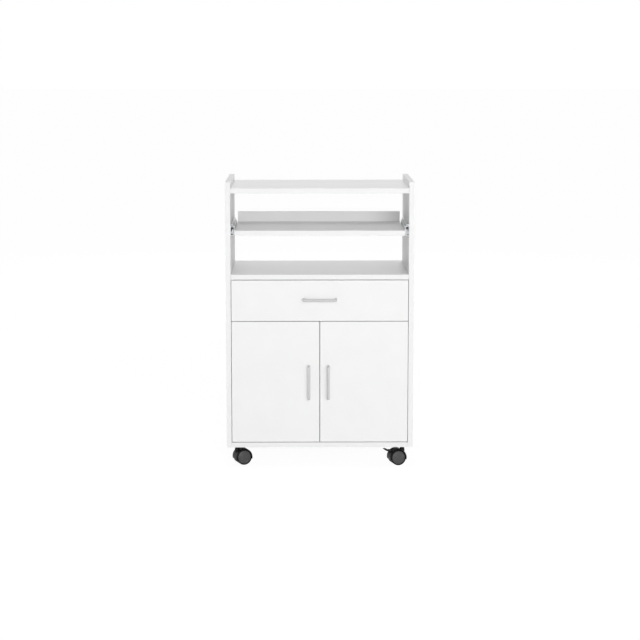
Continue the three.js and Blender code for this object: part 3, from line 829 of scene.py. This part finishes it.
CAM_LOW = 30 * MM  # above a drawer side's lower edge
CAM_HIGH = 22 * MM  # below its upper edge
spots = []
for hand, side in HANDS:
    low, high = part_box(f"drawer_{hand}_side")
    inner = high.x if side < 0 else low.x
    for height in (low.z + CAM_LOW, high.z - CAM_HIGH):
        spots.append(((inner, low.y + CAP_INSET, height), (-side, 0, 0)))
caps = fittings("drawer_cam_caps", cam_cap(), spots, CAP_PLASTIC)
seat(caps, "drawer", "white_melamine_board")

# Bar handles: a bow bent from one flat-sided bar, die-cast and lacquered silver. Two pan-head
# screws hold each from behind the board.

HANDLE_BAR = 8 * MM  # the bar's thickness, along the handle at its feet
HANDLE_BEND = 7 * MM  # outer radius of its two bends
BAR_ROUND = 2.6 * MM  # rounding of its four edges


def silver_lacquer():
    """Silver lacquer on a die-cast bar: an even, soft grey with a glint of fine flakes."""
    made, tree, shader, place = new_material("silver_lacquered_bar", Metallic=0.15)
    # Flakes of 0.9 mm stand for real ones of 0.05 mm, which would not show.
    flake = add(tree, "ShaderNodeTexVoronoi", {"Vector": place, "Scale": 1 / (0.9 * MM)})
    tone = add(tree, "ShaderNodeMix", {"Factor": flake.outputs["Color"]}, data_type="RGBA")
    tone.inputs["A"].default_value = linear("CCCCCC")
    tone.inputs["B"].default_value = linear("C2C2C2")
    tree.links.new(tone.outputs["Result"], shader.inputs["Base Color"])
    gloss = {"Value": flake.outputs["Color"], "To Min": 0.45, "To Max": 0.6}
    rough = add(tree, "ShaderNodeMapRange", gloss)
    tree.links.new(rough.outputs["Result"], shader.inputs["Roughness"])
    return made


SILVER = silver_lacquer()


def rounded_section(width, depth, radius):
    """Points round a rounded rectangle, centred on zero."""
    points = []
    for quarter in range(4):
        cx = (width / 2 - radius) * (1 if quarter in (0, 3) else -1)
        cy = (depth / 2 - radius) * (1 if quarter in (0, 1) else -1)
        for i in range(5):
            turn = (quarter + i / 4) * math.pi / 2
            points.append((cx + radius * math.cos(turn), cy + radius * math.sin(turn)))
    return points


def centre_of(node):
    """The middle of a node's box."""
    low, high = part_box(node)
    return (low + high) / 2


def bow(name, node, lengthways):
    """A bar swept along a bow: out from the board, across, and back to the board."""
    low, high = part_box(node)
    along = Vector((1, 0, 0)) if lengthways == "x" else Vector((0, 0, 1))
    across = Vector((0, 0, 1)) if lengthways == "x" else Vector((1, 0, 0))
    outwards = Vector((0, -1, 0))
    length = (high - low).dot(along)
    width = (high - low).dot(across)
    rise = high.y - low.y
    bend = HANDLE_BEND - HANDLE_BAR / 2
    middle = centre_of(node)
    foot = Vector((middle.x, high.y, middle.z))
    half, top = length / 2 - HANDLE_BAR / 2, rise - HANDLE_BAR / 2

    route = [(-half, 0, 90), (-half, top - bend, 90)]
    for i in range(1, 9):
        turn = math.radians(90 * i / 8)
        out = top - bend + bend * math.sin(turn)
        route.append((-half + bend * (1 - math.cos(turn)), out, 90 - math.degrees(turn)))
    route += [(-a, out, -turn) for a, out, turn in reversed(route)]

    section = rounded_section(HANDLE_BAR, width, BAR_ROUND)
    rings = []
    for a, out, turn in route:
        normal = outwards * math.cos(math.radians(turn)) - along * math.sin(math.radians(turn))
        at = foot + along * a + outwards * out
        rings.append([at + normal * p + across * q for p, q in section])
    mesh = skin(name, rings)
    mesh.shade_smooth()
    mesh.set_sharp_from_angle(angle=math.radians(40))
    return new_object(name, mesh, SILVER)


def handle_screws(name, node, lengthways, rear, body):
    """Two screws behind the board, opposite the handle's feet."""
    low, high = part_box(node)
    middle = centre_of(node)
    k = "xyz".index(lengthways)
    spots = []
    for end in (-1, 1):
        spot = Vector((middle.x, rear, middle.z))
        spot[k] += end * ((high[k] - low[k]) / 2 - HANDLE_BAR / 2)
        spots.append((spot, (0, 1, 0)))
    seat(fittings(name, pan_screw(), spots, ZINC), body, "zinc_plated_steel")


seat(bow("drawer_bow", "drawer_handle", "x"), "drawer", "satin_silver_bar", "drawer_handle")
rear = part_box("drawer_front")[1].y
handle_screws("drawer_handle_screws", "drawer_handle", "x", rear, "drawer")

# Doors: two boards of the same white board, edged all round and bored behind for the hinge
# cups. Each has its upright bow, held by two screws from behind.

CUP_BORE = 17.5 * MM  # radius

for hand, side in HANDS:
    low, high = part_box(f"{hand}_door")
    spots = []
    for level in ("lower", "upper"):
        cup = f"{hand}_{level}_hinge_cup"
        centre = centre_of(cup)
        spots.append((Vector((centre.x, high.y, centre.z)), (0, -1, 0)))
    cup_depth = high.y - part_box(cup)[0].y + RAIL_SEAM
    drill = turned(
        "cup_drill",
        [(0, -MM), (CUP_BORE, -MM), (CUP_BORE, cup_depth), (0, cup_depth)],
        48,
    )
    bores = fittings(f"{hand}_cup_bores", drill, spots, MELAMINE)
    door = board(f"{hand}_door_board", f"{hand}_door", ("-x", "+x", "-z", "+z"), bores=bores)
    body = f"{hand}_door_leaf"
    seat(door, body, "white_melamine_board", f"{hand}_door")
    upright = bow(f"{hand}_door_bow", f"{hand}_door_handle", "z")
    seat(upright, body, "satin_silver_bar", f"{hand}_door_handle")
    handle_screws(f"{hand}_door_handle_screws", f"{hand}_door_handle", "z", high.y, body)

# Concealed hinges: a pressed cup in the door, a bent link and a cranked arm on a plate, all of
# nickel-plated steel, with the cup's wings and the plate's ends screwed on.

HINGE_EDGE = 0.25 * MM  # rounding of its sheet metal
WING_INSET = 4.5 * MM  # screws from the ends of a cup's wings
PLATE_SEAT = 3.25 * MM  # screw heads from the back of an arm's plate
PLATE_SCREW_OUT = 16.5 * MM  # screws above and below the plate's middle
PLATE_SCREW_BACK = 19 * MM  # and from the arm's rear end

for hand, side in HANDS:
    wing_spots, plate_spots = [], []
    for level in ("lower", "upper"):
        name = f"{hand}_{level}_hinge"
        for part in ("cup", "link", "arm"):
            dress(f"{name}_{part}", NICKEL, HINGE_EDGE)
        low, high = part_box(f"{name}_cup")
        centre = centre_of(f"{name}_cup")
        for way in (-1, 1):
            height = centre.z + way * ((high.z - low.z) / 2 - WING_INSET)
            wing_spots.append(((centre.x, high.y, height), (0, 1, 0)))
        low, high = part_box(f"{name}_arm")
        plate = low.x + PLATE_SEAT if side < 0 else high.x - PLATE_SEAT
        for way in (-1, 1):
            height = (low.z + high.z) / 2 + way * PLATE_SCREW_OUT
            plate_spots.append(((plate, high.y - PLATE_SCREW_BACK, height), (-side, 0, 0)))
    screws = fittings(f"{hand}_cup_screws", pan_screw(), wing_spots, NICKEL)
    seat(screws, f"{hand}_door_leaf", "zinc_plated_steel")
    screws = fittings(f"{hand}_plate_screws", pan_screw(), plate_spots, NICKEL)
    seat(screws, "cabinet", "zinc_plated_steel")

# Casters: each turns on a zinc-plated threaded stem. A black nylon hood covers two hard black
# treads on a steel axle, and each tread is closed with a domed grey cap.

GREY_CAP = moulded("moulded_grey_cap", "4B4B4B", 0.38, 0.5, 1.0 * MM, 0.3)
TREAD = moulded("moulded_black_tread", "0E0E0F", 0.45, 0.62, 1.2 * MM, 0.12)

# A caster is drawn with its stem on the Z axis, trailing along +X, and then put in its place.
WHEEL = 25 * MM  # radius
TRAIL = 18 * MM  # axle from the stem
AXLE_AT = Vector((TRAIL, 0, WHEEL))
SHOULDER = 16 * MM  # half width at which the hood begins to round off
HOOD_HALF, HOOD_HALF_IN = 23 * MM, 21.4 * MM  # half widths outside and inside
HOOD_OUT, HOOD_IN = 28 * MM, 26 * MM  # radii round the axle, outside and inside
RIM_OUT, RIM_IN = 25.2 * MM, 24.6 * MM  # and at the hood's side rims
HOOD_END = math.radians(-14)
HOOD_STEPS = 44
WEB_HALF = 6.5 * MM
WEB_OUT, WEB_LOW = 27 * MM, 15 * MM  # radii of the web under the hood and below the axle
STEM_BORE, STEM_BORE_FROM, STEM_BORE_TO = 3.95 * MM, 32 * MM, 63 * MM  # radius and ends
AXLE_BORE, AXLE_BORE_HALF = 3.1 * MM, 10 * MM  # radius and half length
# The boss round the stem: millimetres of radius and of height above the floor.
BOSS = ((0, 30), (6.5, 30), (8.2, 46), (7.6, 52), (6.7, 55), (6.5, 60.5), (6, 61.2), (0, 61.2))


def round_axle(radius, turn):
    """The x and z of a place round the axle."""
    return TRAIL + radius * math.cos(turn), WHEEL + radius * math.sin(turn)


def hood_section():
    """The hood's wall across the wheels, as points of width and radius."""

    def rounded_side(half, top, rim):
        turns = [math.radians(15 * i) for i in range(7)]
        return [
            (SHOULDER + (half - SHOULDER) * math.sin(t), rim + (top - rim) * math.cos(t))
            for t in turns
        ]

    outer = rounded_side(HOOD_HALF, HOOD_OUT, RIM_OUT)
    inner = rounded_side(HOOD_HALF_IN, HOOD_IN, RIM_IN)
    return outer + inner[::-1] + [(-w, r) for w, r in inner + outer[::-1]]


def hood_mesh():
    """The hood's wall, swept round the axle from one end to the other."""
    rings = []
    for i in range(HOOD_STEPS + 1):
        turn = HOOD_END + (math.pi - 2 * HOOD_END) * i / HOOD_STEPS
        ring = []
        for w, r in hood_section():
            x, z = round_axle(r, turn)
            ring.append((x, w, z))
        rings.append(ring)
    return skin("hood", rings)


def web_mesh():
    """The plate between the wheels: a disc round the axle, and the room under the hood."""
    outline = []
    for i in range(33):
        outline.append(round_axle(WEB_OUT, HOOD_END + (math.pi - 2 * HOOD_END) * i / 32))
    for i in range(13):
        turn = math.pi - HOOD_END + (math.pi + 2 * HOOD_END) * i / 12
        outline.append(round_axle(WEB_LOW, turn))
    return prism("web", outline, -WEB_HALF, WEB_HALF)


def rod(name, radius, low, high):
    """A plain rod on Z."""
    return turned(name, [(0, low), (radius, low), (radius, high), (0, high)])


def cross_rod(name, radius, half, at):
    """A rod along Y through a place in the middle plane, as long to either side."""
    mesh = rod(name, radius, -half, half)
    mesh.transform(Matrix.Translation(at) @ Matrix.Rotation(-math.pi / 2, 4, "X"))
    return new_object(name, mesh)


BRAKE_ARM = 29.5 * MM  # the pedal's pivot from the axle
BRAKE_TURN = math.radians(42)
BRAKE_X, BRAKE_Z = round_axle(BRAKE_ARM, BRAKE_TURN)
BRAKE_AT = Vector((BRAKE_X, 0, BRAKE_Z))
BRAKE_HALF = 13 * MM  # half the pedal's width at its pivot
LUG, LUG_LENGTH = 3.25 * MM, 3.5 * MM  # radius and length of the lug on each side of it
SLOT, SLOT_PLAY = 5.1 * MM, 0.5 * MM  # radius of the pedal's room, and its play in width
PIVOT_HOLE, PIVOT_HOLE_HALF = 1.6 * MM, 20 * MM


def housing(name, brake):
    """The hood, the web and the boss moulded in one, with their bores."""
    piece = new_object(name, hood_mesh(), BLACK_NYLON)
    combine(piece, new_object("web", web_mesh()), "UNION")
    combine(piece, new_object("boss", turned("boss", in_mm(BOSS), 32)), "UNION")
    if brake:
        combine(piece, cross_rod("lug", LUG, BRAKE_HALF + LUG_LENGTH, BRAKE_AT), "UNION")
        combine(piece, cross_rod("slot", SLOT, BRAKE_HALF + SLOT_PLAY, BRAKE_AT))
        combine(piece, cross_rod("hole", PIVOT_HOLE, PIVOT_HOLE_HALF, BRAKE_AT))
    bore = rod("bore", STEM_BORE, STEM_BORE_FROM, STEM_BORE_TO)
    combine(piece, new_object("bore", bore))
    combine(piece, cross_rod("bore", AXLE_BORE, AXLE_BORE_HALF, AXLE_AT))
    return piece


def tread_mesh():
    """A tread ring with a hub, hollow behind its cap, turned about Z from the web outwards."""
    hub = [(3.1, 7.25), (9, 7.25), (9, 9), (20, 9), (20.4, 7.25)]
    tyre = [(23, 7.25), (24.4, 7.85), (25, 9.25), (25, 19.5), (24.4, 20.9), (23, 21.5)]
    hollow = [(22.2, 21.5), (22, 21.2), (22, 17.6), (3.1, 17.6)]
    return turned("tread", in_mm(hub + tyre + hollow), 64, loop=True)


def cap_mesh():
    """A cap with a domed middle raised above its sloping rim, turned about Z."""
    dome = [(r, 23 - 1.2 * (r / 15) ** 2) for r in (0, 3, 6, 9, 12, 14, 15)]
    rim = [(15.3, 21.65), (16.5, 20.75), (16.9, 20.65), (20.7, 20.05), (21.4, 19.75), (21.7, 19)]
    wall = 1.3
    inside = [(r, height - wall) for r, height in dome + rim if r < 17]
    return turned("cap", in_mm(dome + rim + [(20.6, 18.6)] + inside[::-1]), 64)


def smooth(piece):
    """Shades a piece smooth, but for its edges sharper than 38 degrees."""
    piece.data.shade_smooth()
    piece.data.set_sharp_from_angle(angle=math.radians(38))


def caster_place(corner):
    """Takes a caster's drawing to its corner of the cart, and turns it to its axle there."""
    stem = centre_of(f"{corner}_caster_stem")
    axle = centre_of(f"{corner}_caster_axle")
    trailing = math.atan2(axle.y - stem.y, axle.x - stem.x)
    return Matrix.Translation((stem.x, stem.y, 0)) @ Matrix.Rotation(trailing, 4, "Z")


for corner in ("front_left", "front_right", "rear_left", "rear_right"):
    place = caster_place(corner)
    for part in ("stem", "axle"):
        dress(f"{corner}_caster_{part}", ZINC, FINE_EDGE)
    hood = housing(f"{corner}_hood", brake=corner == "front_right")
    hood.data.transform(place)
    smooth(hood)
    seat(hood, f"{corner}_swivel", "black_plastic", f"{corner}_caster_housing")

    for hand, side in HANDS:
        outwards = Matrix.Rotation(-side * math.pi / 2, 4, "X")
        wheel_place = place @ Matrix.Translation(AXLE_AT) @ outwards
        body = f"{corner}_{hand}_wheel"
        tread = new_object(f"{corner}_{hand}_tread", tread_mesh(), TREAD)
        tread.data.transform(wheel_place)
        smooth(tread)
        seat(tread, body, "black_plastic", f"{corner}_caster_{hand}_wheel")
        cap = new_object(f"{corner}_{hand}_cap", cap_mesh(), GREY_CAP)
        cap.data.transform(wheel_place)
        smooth(cap)
        seat(cap, body, "grey_wheel_plastic")

# Brake: a black nylon pedal hinged in the hood of the front right caster. Pressed down, its
# cam bears on the treads. Low ribs across the pedal keep the foot from slipping.

PEDAL_SLOPE = math.radians(20)
# Millimetres along the pedal from its pivot, half its thickness there and half its width.
PEDAL_STATIONS = (
    (0.0, 1.1, 12.6),
    (4.0, 1.1, 12.8),
    (8.0, 1.3, 13.0),
    (11.0, 1.9, 13.0),
    (14.0, 2.5, 13.0),
    (17.0, 2.6, 12.8),
    (20.0, 2.1, 12.0),
    (23.0, 1.2, 10.4),
    (25.0, 0.5, 8.2),
    (25.6, 0.2, 7.0),
)
HUB = 2.8 * MM
PIVOT_PIN, PIVOT_PIN_HALF = 1.5 * MM, 16.4 * MM
RIBS = 4
RIB_PITCH = 3.2 * MM
RIB_SIZE = (0.75 * MM, 9 * MM, 0.6 * MM)  # half sizes along, across and above the pedal
RIB_START = 11.5 * MM  # first rib from the pivot
RIB_LEVEL = 2.2 * MM  # above the pedal's middle

pedal_way = Vector((math.cos(PEDAL_SLOPE), 0, math.sin(PEDAL_SLOPE)))
pedal_up = Vector((-math.sin(PEDAL_SLOPE), 0, math.cos(PEDAL_SLOPE)))

rings = []
for s, half_thick, half_wide in PEDAL_STATIONS:
    at = BRAKE_AT + pedal_way * s * MM
    section = rounded_section(2 * half_wide * MM, 2 * half_thick * MM, 0.9 * half_thick * MM)
    rings.append([at + Vector((0, p, 0)) + pedal_up * q for p, q in section])
pedal = new_object("brake_pedal", skin("brake_pedal", rings), BLACK_NYLON)
combine(pedal, cross_rod("hub", HUB, BRAKE_HALF, BRAKE_AT), "UNION")
combine(pedal, cross_rod("pin", PIVOT_PIN, PIVOT_PIN_HALF, BRAKE_AT), "UNION")
place = caster_place("front_right")
pedal.data.transform(place)
smooth(pedal)
seat(pedal, "brake_lever", "black_plastic", "front_right_caster_brake_lever")


def rib_rows():
    """Ribs in a row along a named step."""
    tree, given = geometry_tree("pedal_ribs", Ribs="Int", Step="Vector", Rib="Object")
    line = add(
        tree,
        "GeometryNodeMeshLine",
        {"Count": given.outputs["Ribs"], "Offset": given.outputs["Step"]},
    )
    info = add(tree, "GeometryNodeObjectInfo", {"Object": given.outputs["Rib"]})
    copies = add(
        tree,
        "GeometryNodeInstanceOnPoints",
        {"Points": line.outputs["Mesh"], "Instance": info.outputs["Geometry"]},
    )
    end_tree(tree, copies.outputs["Instances"], BLACK_NYLON)
    return tree


bm = bmesh.new()
bmesh.ops.create_uvsphere(bm, u_segments=16, v_segments=8, radius=1)
bmesh.ops.scale(bm, verts=bm.verts, vec=RIB_SIZE)
rib = new_object("rib", closed_mesh(bm, "rib"))
step = pedal_way * RIB_PITCH
ribs = grown(
    "brake_pedal_ribs", bpy.data.meshes.new("ribs"), rib_rows(), Ribs=RIBS, Step=step, Rib=rib
)
first_rib = BRAKE_AT + pedal_way * RIB_START + pedal_up * RIB_LEVEL
ribs.data.transform(place @ Matrix.Translation(first_rib))
smooth(ribs)
seat(ribs, "brake_lever", "black_plastic")

# Floor and light: a plain white floor and background, a soft even sky, one large soft lamp low
# in front and a little to the right, a weak one high behind for the shelves, and two low
# ones for the sides.

SKY = 0.5
FLOOR_HALF = 60
FLOOR_GLOW = 1.05  # a little brighter than the background
FLOOR_GLOW_SHARE = 0.9  # the rest of what the camera sees is paint, with faint shadows
# Each lamp's watts, diameter and place.
LAMPS = {
    "front_lamp": (150, 3.0, Vector((0.8, -6.0, 1.5))),
    "rear_lamp": (22, 3.0, Vector((0.0, 5.8, 2.3))),
    "left_fill": (75, 1.6, Vector((-6.0, 0.0, 0.8))),
    "right_fill": (75, 1.6, Vector((6.0, 0.0, 0.8))),
}


def camera_and_gloss(tree):
    """1 for rays from the camera, from glossy surfaces and through clear ones."""
    path = add(tree, "ShaderNodeLightPath")
    total = add(tree, "ShaderNodeMath", operation="ADD")
    tree.links.new(path.outputs["Is Camera Ray"], total.inputs[0])
    tree.links.new(path.outputs["Is Glossy Ray"], total.inputs[1])
    clear = add(tree, "ShaderNodeMath", operation="ADD", use_clamp=True)
    tree.links.new(total.outputs["Value"], clear.inputs[0])
    tree.links.new(path.outputs["Is Transmission Ray"], clear.inputs[1])
    return clear.outputs["Value"]


world = bpy.data.worlds.new("studio")
world.use_nodes = True
tree = world.node_tree
tree.nodes.clear()
soft = add(tree, "ShaderNodeBackground", {"Color": (1, 1, 1, 1), "Strength": SKY})
white = add(tree, "ShaderNodeBackground", {"Color": (1, 1, 1, 1), "Strength": 1.0})
either = add(tree, "ShaderNodeMixShader", {"Fac": camera_and_gloss(tree)})
tree.links.new(soft.outputs["Background"], either.inputs[1])
tree.links.new(white.outputs["Background"], either.inputs[2])
add(tree, "ShaderNodeOutputWorld", {"Surface": either.outputs["Shader"]})
scene.world = world

bm = bmesh.new()
bmesh.ops.create_grid(bm, x_segments=1, y_segments=1, size=FLOOR_HALF)
floor = bpy.data.meshes.new("floor")
bm.to_mesh(floor)
bm.free()
floor_look = bpy.data.materials.new("white_studio_floor")
floor_look.use_nodes = True
tree = floor_look.node_tree
tree.nodes.clear()
paint = add(tree, "ShaderNodeBsdfDiffuse", {"Color": linear("F0F0F0")})
bright = add(tree, "ShaderNodeEmission", {"Color": (1, 1, 1, 1), "Strength": FLOOR_GLOW})
share = add(tree, "ShaderNodeMath", operation="MULTIPLY")
tree.links.new(camera_and_gloss(tree), share.inputs[0])
share.inputs[1].default_value = FLOOR_GLOW_SHARE
mixed = add(tree, "ShaderNodeMixShader", {"Fac": share.outputs["Value"]})
tree.links.new(paint.outputs["BSDF"], mixed.inputs[1])
tree.links.new(bright.outputs["Emission"], mixed.inputs[2])
add(tree, "ShaderNodeOutputMaterial", {"Surface": mixed.outputs["Shader"]})
new_object("floor", floor, floor_look)

for name, (power, width, spot) in LAMPS.items():
    disk = bpy.data.lights.new(name, "AREA")
    disk.shape = "DISK"
    disk.size = width
    disk.energy = power
    lamp = bpy.data.objects.new(name, disk)
    lamp.location = spot
    lamp.rotation_euler = (VIEW_AIM - spot).to_track_quat("-Z", "Y").to_euler()
    lamp.visible_camera = False
    scene.collection.objects.link(lamp)
